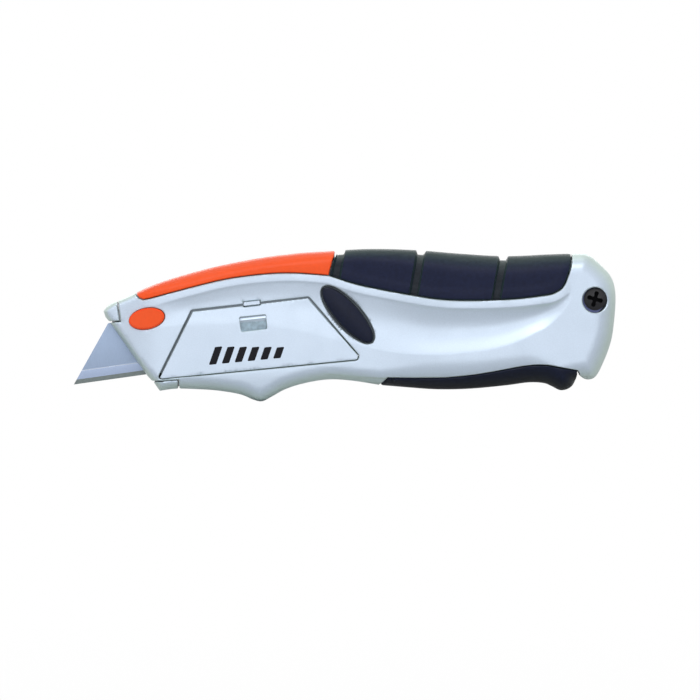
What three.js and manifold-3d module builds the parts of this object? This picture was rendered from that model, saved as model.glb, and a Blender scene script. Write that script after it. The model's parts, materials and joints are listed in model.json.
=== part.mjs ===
// Squeeze-grip utility knife: a two-part cast housing, a lever that drives the blade out through a swing arm,
// a sliding nose chute for changing the blade, and a hinged door over three spare blades.
// Millimetres. +X runs from the blade tip to the tail, +Z is up, -Y is the side with the magazine door.
import * as THREE from "three";
import { mergeVertices } from "three/addons/utils/BufferGeometryUtils.js";
import Module from "manifold-3d";

const wasm = await Module();
wasm.setup();
const DEG = Math.PI / 180;

// ---- driving dimensions ----
const GAP = 0.3; // running clearance between pieces that meet
const SEAM = 0.15; // half the joint between the two housing halves
const HALF_NOSE = 6.6, HALF_MAGAZINE = 8.5, HALF_GRIP = 10.6, HALF_TAIL = 9.2; // half widths of the housing
const NOSE_X = 10, MAGAZINE_X = 29, GRIP_START_X = 99, GRIP_X = 130, TAIL_X = 182;
const WALL = 3.2; // housing wall
const SKIN = 1.7; // trim and grip pad
const RECESS = SKIN + 1.5 * GAP; // pocket in the housing for trim and pad
const BLADE_L = 61, BLADE_H = 18.8, BLADE_T = 0.6, BLADE_END = 14.3; // trapezoid blade
const BLADE_TIP = [0, 5.6], BLADE_TILT = 8 * DEG;
const SPARES = 3, SPARE_PITCH = 0.9, SPARE_Y = -2.2; // spare blades in the magazine
const CARRIER_Y = [BLADE_T / 2 + GAP, 3]; // blade carrier plate
const ARM_Y = [CARRIER_Y[1] + GAP, 5.3]; // swing arm plate
const WEB_Y = [-3, -BLADE_T / 2 - GAP]; // steel web of the lever
const LEVER_PIVOT = [98, 11], ARM_PIVOT = [102.7, 43.6];
const PIVOT_R = 1.25, DRIVE_PIN_R = 1, END_PIN_R = 1.2, LOCK_PIN_R = 1.2;
const LEVER_PIN_END = HALF_MAGAZINE - 1.7, ARM_PIN_END = HALF_MAGAZINE - 2.6; // pins end inside the walls
const ARM_SHORT = 5.2, ARM_LONG = 24, ARM_SWING = 34 * DEG; // arm legs and half its swing
const DOOR_T = 1.6, BARREL_R = 1, ROD_R = 0.45; // magazine door and its hinge
const TONGUE_Y = [-5.6, 3.4]; // inner part of the lever
const CHUTE_T = 1.1, CHUTE_Y = -0.6;
const RELEASE = { x: 24.7, z: 27.7, a: 6, b: 3.5, tilt: 11 * DEG, proud: 0.7, stem: 1.7 };
const LOCK = { x: 92.1, z: 29.2, a: 12.6, b: 4.6, tilt: -49 * DEG, proud: 1.2, pin: [95, 26] };
const SCREW = { x: 174.9, z: 33.9, bore: 4.3, head: 3.3, shaft: 1.5 };

// ---- outlines in the XZ plane ----
const NOSE_LINE = [[10, 30.2], [10.7, 28.2], [12.4, 26.2], [17.5, 18.8], [24.6, 8.7], [26.9, 6.2]];
const BELLY = [[28.9, 3.5], [34.5, 4.2], [42.4, 4], [49, 3.5], [55.9, 2.3], [60.4, 0.5], [63.3, 0], [66.6, 1.6],
  [71, 4], [77.3, 6], [85.4, 7.4], [93.5, 7.1], [103.1, 5.6]];
const LEVER_BELLY = [[111.5, 4.7], [122, 4], [133, 4.2], [145, 5.3], [152.7, 6.2], [158.5, 5.6], [163, 4],
  [166.4, 5], [168.8, 7.9]];
const TAIL = [[173.2, 7.4], [176.8, 10.6], [180.7, 20.8], [182, 34.3], [181.6, 38.8], [178.5, 43.8], [173.4, 49]];
const BACK = [[171.3, 49.6], [160, 49.3], [145, 48.7], [130, 49.5], [115, 50.7], [100, 51.1], [87.4, 50.5],
  [75, 49.7], [61.2, 47.9], [45.1, 44.6], [29, 39.9], [14.4, 33.9]];
const TRIM_EDGE = [[24, 34.3], [27.6, 35.1], [39.6, 38.3], [51.5, 41.1], [63.6, 42.7], [74, 43.1], [85.6, 42.3]];
const PAD_EDGE = [[86, 42.2], [96.4, 39], [112.8, 35.8], [123.8, 34.2], [135.4, 33.9], [147.8, 34.4],
  [158.1, 35.8], [163.2, 37], [165.8, 40], [166.9, 45.1], [167.4, 50]];
const DOOR = [[28.5, 7.8], [95.2, 14.3], [95.6, 15.6], [78.9, 35.1], [39.8, 30.7]];
const LEVER_TOP = [[169.2, 10.2], [162.9, 11.4], [157.8, 12.1], [151, 11.7], [137.2, 9.2], [126, 7.9],
  [116, 7.7], [105.6, 7.8]];
const CAP = [[8, 25.9], [16, 27.1], [15.1, 33.1], [14.4, 36], [8, 36]];
const CORNER = [[25.5, 0], [35.2, 0], [35.2, 6.9], [26.9, 6.4], [25.5, 6.3]];
const CATCH_WINDOW = [[56.4, 23.3], [65, 24.3], [64.5, 29.1], [55.7, 28.2]];
const CATCH_X = [57.2, 62.7];

// ---- curves and polygons ----
const curve = (points, n) =>
  new THREE.SplineCurve(points.map(([x, z]) => new THREE.Vector2(x, z))).getPoints(n).map((p) => [p.x, p.y]);
const area = (p) => p.reduce((s, [x, z], i) => {
  const [a, b] = p[(i + 1) % p.length];
  return s + (x * b - a * z) / 2;
}, 0);
// The polygon moved outward by d(x, z) along its mitred normals; counter-clockwise in, counter-clockwise out.
function grow(points, d) {
  const at = typeof d === "function" ? d : () => d;
  const p = area(points) < 0 ? [...points].reverse() : points;
  return p.map(([x, z], i) => {
    const [ax, az] = p[(i + p.length - 1) % p.length], [bx, bz] = p[(i + 1) % p.length];
    const l1 = Math.hypot(x - ax, z - az), l2 = Math.hypot(bx - x, bz - z);
    const n1 = [(z - az) / l1, (ax - x) / l1], n2 = [(bz - z) / l2, (x - bx) / l2];
    const k = at(x, z) / Math.max(1 + n1[0] * n2[0] + n1[1] * n2[1], 0.4);
    return [x + k * (n1[0] + n2[0]), z + k * (n1[1] + n2[1])];
  });
}
const blend = (t) => { const u = Math.min(Math.max(t, 0), 1); return u * u * (3 - 2 * u); };
const ramp = (x, x0, x1, a, b) => a + (b - a) * blend((x - x0) / (x1 - x0));
const halfAt = (x) =>
  x < MAGAZINE_X ? ramp(x, NOSE_X, MAGAZINE_X, HALF_NOSE, HALF_MAGAZINE)
    : x < GRIP_X ? ramp(x, GRIP_START_X, GRIP_X, HALF_MAGAZINE, HALF_GRIP)
      : ramp(x, GRIP_X + 20, TAIL_X, HALF_GRIP, HALF_TAIL);
const roundAt = (x) => // how far the edge rounding runs in from the outline
  x < 60 ? ramp(x, 12, 34, 1.2, 3) : x < 140 ? ramp(x, 92, 128, 3, 5) : ramp(x, 142, 160, 5, 2);
const OUTLINE = [
  ...NOSE_LINE, ...curve(BELLY, 30), ...curve(LEVER_BELLY, 20), [169.9, 8.6], ...curve(TAIL, 14), ...curve(BACK, 34),
];
// The outline the inner forms are inset from: plain along the lever and round at the tail.
const INNER_OUTLINE = [
  [9, 29], [13, 24.5], [28, 4.6],
  ...curve([[35, 4.1], [42, 4], [54, 2.9], [62, 1.8], [70, 3.8], [78, 6.1], [93.5, 7.1], [103.1, 5.6]], 14),
  [130, 5.4], [150, 6.6], [166, 8.4],
  ...curve([[173, 11], [178.5, 18], [181.4, 30], [180.4, 40], [175, 46.8], [168, 49.5], [160, 49.3]], 12),
  ...curve(BACK.slice(1), 30).slice(1),
];

// ---- solids ----
function solid(geometry) {
  const g = (geometry.index ? geometry.toNonIndexed() : geometry).clone();
  g.deleteAttribute("normal");
  g.deleteAttribute("uv");
  const m = mergeVertices(g, 1e-4);
  return new wasm.Manifold(new wasm.Mesh({
    numProp: 3, vertProperties: m.attributes.position.array, triVerts: new Uint32Array(m.index.array),
  }));
}
const join = (...parts) => parts.reduce((a, b) => a.add(b));
const shapeOf = (points) => new THREE.Shape(points.map(([x, z]) => new THREE.Vector2(x, z)));
// A polygon in XZ pushed from y0 to y1.
const prism = (points, y0, y1) =>
  solid(new THREE.ExtrudeGeometry(shapeOf(points), { depth: y1 - y0, bevelEnabled: false })
    .rotateX(Math.PI / 2).translate(0, y1, 0));
const box = (x0, x1, y0, y1, z0, z1) =>
  solid(new THREE.BoxGeometry(x1 - x0, y1 - y0, z1 - z0)
    .translate((x0 + x1) / 2, (y0 + y1) / 2, (z0 + z1) / 2));
const disc = ([x, z], r, y0, y1, n = 24) =>
  solid(new THREE.CylinderGeometry(r, r, y1 - y0, n).translate(x, (y0 + y1) / 2, z));
// A rod between two points of space.
function rod(p, q, r, n = 16) {
  const a = new THREE.Vector3(...p), b = new THREE.Vector3(...q), d = b.clone().sub(a);
  const turn = new THREE.Quaternion().setFromUnitVectors(new THREE.Vector3(0, 1, 0), d.clone().normalize());
  return solid(new THREE.CylinderGeometry(r, r, d.length(), n)
    .applyQuaternion(turn).translate(...a.add(b).multiplyScalar(0.5).toArray()));
}
const ellipse = ({ x, z, a, b, tilt }, more, y0, y1, n = 32) =>
  solid(new THREE.CylinderGeometry(1, 1, y1 - y0, n).scale(a + more, 1, b + more)
    .rotateY(-tilt).translate(x, (y0 + y1) / 2, z));
// A flat bar with round ends through a chain of centres, each with its own radius.
function link(stops, y0, y1, n = 24) {
  let made = null;
  stops.forEach(([x, z, r], i) => {
    let piece = disc([x, z], r, y0, y1, n);
    if (i) {
      const [px, pz, pr] = stops[i - 1], l = Math.hypot(x - px, z - pz), u = [(x - px) / l, (z - pz) / l];
      const side = (cx, cz, cr, s) => [cx - s * u[1] * cr, cz + s * u[0] * cr];
      piece = join(piece, prism([side(px, pz, pr, -1), side(x, z, r, -1), side(x, z, r, 1), side(px, pz, pr, 1)],
        y0, y1));
    }
    made = made ? made.add(piece) : piece;
  });
  return made;
}
// The housing form, inset everywhere by `inset`: rounded towards both sides.
function pillow(inset, steps = 3) {
  const base = inset ? grow(INNER_OUTLINE, -inset) : OUTLINE, n = base.length, pos = [], index = [];
  const rings = [];
  for (let k = 0; k <= steps; k++) {
    const turn = (k / steps) * 90 * DEG;
    rings.push({ in: 1 - Math.cos(turn), out: 0.35 + 0.65 * Math.sin(turn) });
  }
  const layers = [...rings.map((r) => ({ ...r, s: -1 })).reverse(), ...rings.map((r) => ({ ...r, s: 1 }))];
  for (const r of layers) {
    const ring = grow(base, (x) => -roundAt(x) * r.in);
    ring.forEach(([x, z], i) => pos.push(x, r.s * (r.out * (halfAt(base[i][0]) - inset) + (r.in < 1 ? 0 : 0.8)), z));
  }
  for (let k = 0; k + 1 < layers.length; k++)
    for (let i = 0; i < n; i++) {
      const a = k * n + i, b = k * n + ((i + 1) % n), c = a + n, d = b + n;
      index.push(a, d, b, a, c, d);
    }
  const last = (layers.length - 1) * n;
  const cap = grow(base, (x) => -roundAt(x)).map(([x, z]) => new THREE.Vector2(x, z));
  for (const [a, b, c] of THREE.ShapeUtils.triangulateShape(cap, []))
    index.push(a, b, c, last + a, last + c, last + b);
  const g = new THREE.BufferGeometry();
  g.setAttribute("position", new THREE.Float32BufferAttribute(pos, 3));
  return solid(g.setIndex(index)).intersect(sides(inset));
}
// The two sides of the housing form, `inset` from the outside, ruled up and down.
function sides(inset) {
  const stations = [-9, NOSE_X, 15, 20, 24, MAGAZINE_X, GRIP_START_X, 105, 110, 115, 120, 125, GRIP_X,
    GRIP_X + 20, 160, 170, 190];
  const near = stations.map((x) => [x, -(halfAt(x) - inset)]), far = stations.map((x) => [x, halfAt(x) - inset]);
  return solid(new THREE.ExtrudeGeometry(shapeOf([...near, ...far.reverse()]), { depth: 80, bevelEnabled: false })
    .translate(0, 0, -10));
}
// A coil spring round the line from p to q: wire of radius w on a helix of radius r, closed at both ends.
function coil(p, q, r, w, turns, hook = 0, around = 5, perTurn = 9) {
  const a = new THREE.Vector3(...p), axis = new THREE.Vector3(...q).sub(a), length = axis.length();
  axis.normalize();
  const side = Math.abs(axis.y) < 0.5 ? new THREE.Vector3(0, 1, 0) : new THREE.Vector3(1, 0, 0);
  const e1 = side.sub(axis.clone().multiplyScalar(side.dot(axis))).normalize(), e2 = axis.clone().cross(e1);
  const path = [], steps = Math.round(turns * perTurn);
  const point = (along, radius, turn) => a.clone().addScaledVector(axis, along)
    .addScaledVector(e1, radius * Math.cos(turn)).addScaledVector(e2, radius * Math.sin(turn));
  if (hook) path.push(point(w, 0, 0), point(hook * 0.7, 0, 0));
  for (let i = 0; i <= steps; i++)
    path.push(point(w + hook + (length - 2 * (w + hook)) * (i / steps), r, (2 * Math.PI * i) / perTurn));
  if (hook) path.push(point(length - hook * 0.7, 0, 0), point(length - w, 0, 0));
  const pos = [], index = [];
  path.forEach((c, i) => {
    const t = path[Math.min(i + 1, path.length - 1)].clone().sub(path[Math.max(i - 1, 0)]).normalize();
    const u = axis.clone().multiplyScalar(Math.abs(t.dot(axis)) > 0.9 ? 0 : 1)
      .add(e1.clone().multiplyScalar(Math.abs(t.dot(axis)) > 0.9 ? 1 : 0));
    u.sub(t.clone().multiplyScalar(u.dot(t))).normalize();
    const v = t.clone().cross(u);
    for (let k = 0; k < around; k++) {
      const turn = (2 * Math.PI * k) / around;
      const s = c.clone().addScaledVector(u, w * Math.cos(turn)).addScaledVector(v, w * Math.sin(turn));
      pos.push(...s.toArray());
    }
  });
  for (let i = 0; i + 1 < path.length; i++)
    for (let k = 0; k < around; k++) {
      const b = i * around + k, c = i * around + ((k + 1) % around);
      index.push(b, c, c + around, b, c + around, b + around);
    }
  const end = (path.length - 1) * around;
  for (let k = 1; k + 1 < around; k++) index.push(0, k + 1, k, end, end + k, end + k + 1);
  const g = new THREE.BufferGeometry();
  g.setAttribute("position", new THREE.Float32BufferAttribute(pos, 3));
  return solid(g.setIndex(index));
}

// ---- frames of the moving pieces ----
// Blade frame: u runs back along the cutting edge from the tip, v up across the blade.
const cosB = Math.cos(BLADE_TILT), sinB = Math.sin(BLADE_TILT);
const onBlade = ([u, v]) => [BLADE_TIP[0] + u * cosB - v * sinB, BLADE_TIP[1] + u * sinB + v * cosB];
const toLever = (() => {
  const d = [LEVER_PIVOT[0] - ARM_PIVOT[0], LEVER_PIVOT[1] - ARM_PIVOT[1]], l = Math.hypot(...d);
  return { u: [d[0] / l, d[1] / l], l };
})();
const swung = ([x, z], t) => [x * Math.cos(t) + z * Math.sin(t), z * Math.cos(t) - x * Math.sin(t)];
const from = ([x, z], [u, v], l) => [x + u * l, z + v * l];
const DRIVE_PIN = from(ARM_PIVOT, swung(toLever.u, ARM_SWING), ARM_SHORT);
const END_PIN = from(ARM_PIVOT, swung([sinB, -cosB], ARM_SWING), ARM_LONG);
const webAngle = Math.atan2(DRIVE_PIN[0] - LEVER_PIVOT[0], DRIVE_PIN[1] - LEVER_PIVOT[1]);
const onWeb = (r, side = 0) => [
  LEVER_PIVOT[0] + r * Math.sin(webAngle) + side * Math.cos(webAngle),
  LEVER_PIVOT[1] + r * Math.cos(webAngle) - side * Math.sin(webAngle),
];
const bladeU = ([x, z]) => (x - BLADE_TIP[0]) * cosB + (z - BLADE_TIP[1]) * sinB;
const bladeV = ([x, z]) => (z - BLADE_TIP[1]) * cosB - (x - BLADE_TIP[0]) * sinB;
const hingeTilt = Math.atan2(DOOR[1][1] - DOOR[0][1], DOOR[1][0] - DOOR[0][0]);
const onDoor = (u, v) => [
  DOOR[0][0] + u * Math.cos(hingeTilt) - v * Math.sin(hingeTilt),
  DOOR[0][1] + u * Math.sin(hingeTilt) + v * Math.cos(hingeTilt),
];
const HINGE_Y = -HALF_MAGAZINE + BARREL_R;
const DOOR_IN = -HALF_MAGAZINE + DOOR_T; // inner face of the door

// ---- regions ----
const trimRegion = [[20.7, 36.6], ...curve(TRIM_EDGE, 14), [87.7, 50.3], [89.2, 58], [17, 58]];
const padRegion = [...curve(PAD_EDGE, 26), [167.9, 58], [90, 58], [88.1, 50.3]];
const leverRegion = [[103.4, 5.3], [105, -3], [171, -3], [169.6, 9], ...curve(LEVER_TOP, 20)];
const bladeShape = [[0, 0], [BLADE_L, 0], [BLADE_L - BLADE_END, BLADE_H], [BLADE_END, BLADE_H]];

const form = pillow(0), floorForm = pillow(RECESS), skinForm = pillow(SKIN), hollowForm = pillow(WALL, 2);

// ---- housing ----
function housing() {
  const noseSlot = [[-8, -1.2], [42, -1.2], [42, BLADE_H + 1], [-8, BLADE_H + 1]].map(onBlade);
  const chuteSlot = [[-8, -12], [36.5, -12], [36.5, BLADE_H + 1], [24, BLADE_H + 5], [9, BLADE_H + 5],
    [-8, BLADE_H]].map(onBlade);
  const leverWell = [[94.7, 8], [100, 8], [104.8, 7.2], [106, 6.8], [170, 6.8], [170, 26], [94.7, 26]];
  let body = form
    .subtract(prism(grow(trimRegion, GAP), -20, 20).subtract(floorForm))
    .subtract(prism(grow(padRegion, GAP), -20, 20).subtract(floorForm))
    .subtract(hollowForm.intersect(box(31, 200, -20, 20, -5, 60)))
    .subtract(prism(noseSlot, CHUTE_Y - CHUTE_T - GAP, CARRIER_Y[1] + GAP))
    .subtract(prism(grow(leverRegion, GAP), -20, 20))
    .subtract(prism(leverWell, TONGUE_Y[0] - GAP, TONGUE_Y[1] + GAP))
    .subtract(prism(grow(CAP, GAP), -20, 20))
    .subtract(prism(grow(CORNER, GAP), -20, 20));
  // left half: door opening, catch notch, both button pockets
  const [cx0, cx1] = CATCH_X;
  let left = body.intersect(box(-5, 200, -20, -SEAM, -5, 60));
  left = left
    .add(disc([SCREW.x, SCREW.z], 4.6, -HALF_TAIL + 1, -SEAM))
    .add(ellipse(LOCK, 1.8, -HALF_MAGAZINE + 1, -5.1))
    .add(disc(LOCK.pin, 3.8, -HALF_MAGAZINE + 1, -3.5))
    .subtract(prism(chuteSlot, CHUTE_Y - CHUTE_T - GAP, 0))
    .subtract(prism(grow(DOOR, GAP), -20, -HALF_MAGAZINE + WALL + 0.1))
    .subtract(box(cx0 - GAP, cx1 + GAP, -20, -4.9, 30, 34.6))
    .subtract(ellipse(RELEASE, GAP, -20, -3.2))
    .subtract(disc([RELEASE.x, RELEASE.z + 0.9], RELEASE.stem + GAP, -20, 0))
    .subtract(ellipse(LOCK, GAP, -20, -5.9))
    .subtract(disc(LOCK.pin, 2.6, -20, -4.4))
    .subtract(disc(LOCK.pin, LOCK_PIN_R + GAP, -20, 0, 16))
    .subtract(disc([SCREW.x, SCREW.z], SCREW.bore, -20, -HALF_TAIL + 3.6))
    .subtract(disc([SCREW.x, SCREW.z], SCREW.shaft + GAP, -20, 1, 16))
    .subtract(rod([...at(onDoor(-1.6, BARREL_R), HINGE_Y)], at(onDoor(69, BARREL_R), HINGE_Y), ROD_R + GAP, 10))
    .subtract(disc(LEVER_PIVOT, PIVOT_R + GAP, -LEVER_PIN_END - GAP, 0, 16))
    .subtract(disc(ARM_PIVOT, PIVOT_R + GAP, -ARM_PIN_END - GAP, 0, 16));
  let right = body.intersect(box(-5, 200, SEAM, 20, -5, 60));
  const armWell = [[86, 15], [123, 19], [123, 47], [86, 47]];
  right = right
    .add(disc([SCREW.x, SCREW.z], 4.6, SEAM, HALF_TAIL - 1))
    .subtract(prism(armWell, 0, ARM_Y[1] + GAP + 0.1).intersect(pillow(WALL - 0.6, 2)))
    .add(disc(springPost(), 1.3, 0.9, HALF_GRIP - WALL + 0.2, 16))
    .subtract(disc([SCREW.x, SCREW.z], SCREW.shaft + GAP, 0, 7, 16))
    .subtract(disc(LEVER_PIVOT, PIVOT_R + GAP, 0, LEVER_PIN_END + GAP, 16))
    .subtract(disc(ARM_PIVOT, PIVOT_R + GAP, 0, ARM_PIN_END + GAP, 16));
  return { left, right };
}
const at = ([x, z], y) => [x, y, z];
const springPost = () => onBlade([bladeU(END_PIN) + 47, 11]);

function topTrim() {
  return form.intersect(prism(trimRegion, -20, 20)).subtract(skinForm);
}
function gripPad() {
  let pad = form.intersect(prism(padRegion, -20, 20)).subtract(skinForm);
  const groove = pillow(1, 2);
  for (const [x, z] of [[89.2, 46], [115.2, 42], [142.9, 42]]) {
    const lean = 0.13;
    const band = [[-1.5, -16], [1.5, -16], [1.5, 16], [-1.5, 16]].map(([a, b]) => [x + a + b * lean, z + b]);
    pad = pad.subtract(prism(band, -20, 20).subtract(groove));
  }
  return pad;
}
function noseChute() {
  const plate = [[12.9, 26.2], [18.2, 18.8], [25.2, 8.9], [27.4, 6.2], [34.6, 5], [33.5, 9], [22, 24.5],
    [21, 30], [14.2, 31.2]];
  return join(
    form.intersect(prism(CAP, -20, 20)),
    form.intersect(prism(CORNER, -20, 20)),
    prism(plate, CHUTE_Y - CHUTE_T, CHUTE_Y),
  );
}
function releaseButton() {
  const face = -halfAt(RELEASE.x) - RELEASE.proud;
  return join(
    ellipse(RELEASE, -0.5, face, face + 1),
    ellipse(RELEASE, 0, face + 0.5, face + 2.5),
    disc([RELEASE.x, RELEASE.z + 0.9], RELEASE.stem, face + 2, -2.5, 16),
  );
}
function lockButton() {
  const face = -halfAt(LOCK.x) - LOCK.proud;
  return join(ellipse(LOCK, -0.7, face, face + 1), ellipse(LOCK, 0, face + 0.6, face + 2))
    .subtract(disc(LOCK.pin, LOCK_PIN_R + GAP, face + 1.2, 0, 16));
}
function magazineDoor() {
  const [u0, u1] = [1.6, 65.4];
  const plate = [onDoor(0.5, BARREL_R), onDoor(66.4, BARREL_R), onDoor(66.9, BARREL_R + 0.8), ...DOOR.slice(3)];
  const catchRail = [[53, 17], [67, 18.5], [67, 19.6], [53, 18.1]];
  return join(
    form.intersect(prism(plate, -20, DOOR_IN)),
    rod(at(onDoor(u0, BARREL_R), HINGE_Y), at(onDoor(u1, BARREL_R), HINGE_Y), BARREL_R, 16),
    prism(catchRail, DOOR_IN - 0.2, DOOR_IN + 1.7),
  )
    .subtract(prism(CATCH_WINDOW, -20, 0))
    .subtract(prism([[CATCH_X[0], 31.4], [CATCH_X[1], 32], [CATCH_X[1], 36], [CATCH_X[0], 36]], -20, 0))
    .subtract(rod(at(onDoor(-3, BARREL_R), HINGE_Y), at(onDoor(72, BARREL_R), HINGE_Y), ROD_R + 0.2, 10));
}
function doorCatch() {
  const [x0, x1] = CATCH_X, y0 = DOOR_IN + GAP;
  const plate = [[54.8, 22], [66, 23.2], [65.6, 30.9], [54.4, 29.7]];
  return join(
    prism(plate, y0, y0 + 1.1),
    prism([[x0 + GAP, 28], [x1 - GAP, 28], [x1 - GAP, 34], [x0 + GAP, 33.4]], y0, y0 + 1.1),
    prism([[x0 + GAP, 33.2 + GAP], [x1 - GAP, 33.6 + GAP], [x1 - GAP, 34.3], [x0 + GAP, 34.1]],
      -HALF_MAGAZINE + 0.4, y0 + 0.4),
    prism([[57.4, 25.4], [63.6, 26.1], [63.6, 26.9], [57.4, 26.2]], DOOR_IN - 0.6, y0 + 0.3),
  );
}
function bladeSolid(place, y) {
  let made = prism(bladeShape.map(place), y - BLADE_T / 2, y + BLADE_T / 2);
  for (const u of [BLADE_L / 2 - 4.8, BLADE_L / 2 + 4.8]) // two notches in the spine
    made = made.subtract(prism([[u - 1.6, BLADE_H - 2.6], [u + 1.6, BLADE_H - 2.6], [u + 1.6, BLADE_H + 1],
      [u - 1.6, BLADE_H + 1]].map(place), y - 1, y + 1));
  return made;
}
function bladeCarrier() {
  const tail = bladeU(END_PIN), low = bladeV(END_PIN) - (ARM_LONG * (1 - Math.cos(ARM_SWING)));
  const plate = [[21, 6], [58, 6], [62, 4], [tail - 4.6, 3.4], [tail - 3.6, low - 3.2], [tail + 3.6, low - 3.2],
    [tail + 4.6, 9], [tail + 4.6, 14], [48, 14], [46, BLADE_H - 0.4], [22, BLADE_H - 0.4]];
  const slot = END_PIN_R + 0.72;
  let made = prism(plate.map(onBlade), ...CARRIER_Y)
    .subtract(link([[...onBlade([tail, low - 0.3]), slot], [...onBlade([tail, bladeV(END_PIN) + 0.3]), slot]],
      -1, 4, 16));
  for (const u of [BLADE_L / 2 - 4.8, BLADE_L / 2 + 4.8])
    made = made.add(prism([[u - 1.3, BLADE_H - 2.3], [u + 1.3, BLADE_H - 2.3], [u + 1.3, BLADE_H - 0.6],
      [u - 1.3, BLADE_H - 0.6]].map(onBlade), -BLADE_T / 2, CARRIER_Y[0] + 0.4));
  return made;
}
function swingArm() {
  const [px, pz] = ARM_PIVOT;
  return join(
    link([[px, pz, 2.5], [...END_PIN, 2.5]], ...ARM_Y),
    link([[px, pz, 2.5], [...DRIVE_PIN, 2.2]], ...ARM_Y),
  )
    .subtract(disc(ARM_PIVOT, PIVOT_R + GAP, 0, 8, 16))
    .subtract(disc(DRIVE_PIN, DRIVE_PIN_R + GAP, 0, 8, 16))
    .subtract(disc(END_PIN, END_PIN_R + GAP, 0, 8, 16));
}
function leverWeb() {
  const reach = Math.hypot(DRIVE_PIN[0] - LEVER_PIVOT[0], DRIVE_PIN[1] - LEVER_PIVOT[1]);
  const near = toLever.l - ARM_SHORT, slot = DRIVE_PIN_R + 0.5;
  const notchR = Math.hypot(LOCK.pin[0] - LEVER_PIVOT[0], LOCK.pin[1] - LEVER_PIVOT[1]);
  return join(
    disc(LEVER_PIVOT, 2.8, ...WEB_Y),
    prism([onWeb(0, -2.8), onWeb(0, 2.8), onWeb(14, 4), onWeb(reach + 1.3, 3.2), onWeb(reach + 1.3, -3.2),
      onWeb(14, -4)], ...WEB_Y),
    prism([onWeb(0, -1), [112, 10], [124, 11], [124, 14.5], onWeb(8, 3)], ...WEB_Y),
  )
    .subtract(prism([onWeb(near - DRIVE_PIN_R - 0.6, -slot), onWeb(near - DRIVE_PIN_R - 0.6, slot),
      onWeb(reach + 5, slot), onWeb(reach + 5, -slot)], -4, 0))
    .subtract(prism([[86, -2], [LOCK.pin[0] + 1.8, -2], [LOCK.pin[0] + 1.8, 2], [86, 2]]
      .map(([x, z]) => [x, z + LOCK.pin[1]]), -4, 0))
    .subtract(disc(LEVER_PIVOT, PIVOT_R + GAP, -4, 0, 16))
    .intersect(notchR > 0 ? box(90, 130, -5, 0, 0, 60) : form);
}
function squeezeLever() {
  const ears = [[...LEVER_PIVOT, 2.6], [107, 12.2, 2.7], [114, 12.6, 2.6]];
  const tongue = [[106.6, 7], [168, 7], [166.4, 13], [165.6, 24.6], [160, 24.2], [112, 15.6], [106.6, 14.5]];
  return form.intersect(prism(leverRegion, -20, 20))
    .add(prism(tongue, ...TONGUE_Y).subtract(prism([[127, 12.5], [180, 15], [180, 40], [127, 40]], -9, -3)))
    .add(link(ears, ...TONGUE_Y))
    .subtract(prism([[90, 9.6], [90, 30], [127, 30], [127, 9.3], [107.5, 8.6], [106, 8.9]],
      WEB_Y[0] - GAP, WEB_Y[1] + GAP))
    .subtract(box(90, 106, WEB_Y[0] - GAP, WEB_Y[1] + GAP, 5, 30))
    .subtract(disc(LEVER_PIVOT, PIVOT_R + GAP, -9, 9, 16));
}
function magazineTray() {
  const sheet = [[36.2, 0], [92.4, 0], [92.4, 20], [82.5, 36.5], [38, 45], [31.4, 45], [31.4, 15.5], [35, 10]];
  const shelf = [onDoor(8, 0.5), onDoor(63.5, 0.5), onDoor(63.5, 1.5), onDoor(8, 1.5)];
  return join(
    prism(sheet, -1.5, WEB_Y[1]),
    prism(shelf, -4.8, -1.2),
  ).intersect(pillow(WALL + GAP, 2));
}
const onRack = ([u, v]) => onDoor(3 + u, 1.5 + GAP + v);
function magazineSpring() { // bowed leaf that presses the spare blades
  const n = 10, outer = [], inner = [];
  for (let i = 0; i <= n; i++) {
    const u = 8 + 36 * (i / n), y = DOOR_IN + GAP + 0.4 + 1.4 * Math.sin((Math.PI * i) / n);
    outer.push([u, y - 0.2]);
    inner.push([u, y + 0.2]);
  }
  const shape = shapeOf([...outer, ...inner.reverse()]);
  const g = new THREE.ExtrudeGeometry(shape, { depth: 3, bevelEnabled: false });
  const [x, z] = onDoor(0, 2.6);
  return solid(g.rotateY(-hingeTilt)
    .translate(x, 0, z));
}
function tailScrew() {
  const top = -HALF_TAIL + 1.4;
  let made = join(
    disc([SCREW.x, SCREW.z], SCREW.head, top, top + 1.9),
    disc([SCREW.x, SCREW.z], SCREW.shaft, top + 1, 6.6, 16),
  );
  for (const [a, b] of [[2.1, 0.45], [0.45, 2.1]])
    made = made.subtract(box(SCREW.x - a, SCREW.x + a, top - 1, top + 1.3, SCREW.z - b, SCREW.z + b));
  return made;
}

// ---- materials ----
const finish = {
  cast: { color: 0xc3ccd6, roughness: 0.38, metalness: 0.55 },
  orange: { color: 0xf0622a, roughness: 0.35, metalness: 0 },
  rubber: { color: 0x1f2230, roughness: 0.75, metalness: 0 },
  black: { color: 0x1b1c24, roughness: 0.55, metalness: 0 },
  steel: { color: 0x9aa5b4, roughness: 0.3, metalness: 1 },
  zinc: { color: 0x8d929a, roughness: 0.45, metalness: 0.9 },
  grey: { color: 0x6d7178, roughness: 0.6, metalness: 0 },
  dark: { color: 0x15161a, roughness: 0.4, metalness: 0.6 },
};
const materials = Object.fromEntries(
  Object.entries(finish).map(([k, v]) => [k, new THREE.MeshStandardMaterial(v)]));
const root = new THREE.Group();
function place(name, made, material) {
  const m = made.getMesh();
  const g = new THREE.BufferGeometry();
  g.setAttribute("position", new THREE.Float32BufferAttribute(m.vertProperties, 3));
  g.setIndex(new THREE.Uint32BufferAttribute(m.triVerts, 1));
  g.computeVertexNormals();
  const mesh = new THREE.Mesh(g, materials[material]);
  mesh.name = name;
  root.add(mesh);
}

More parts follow.
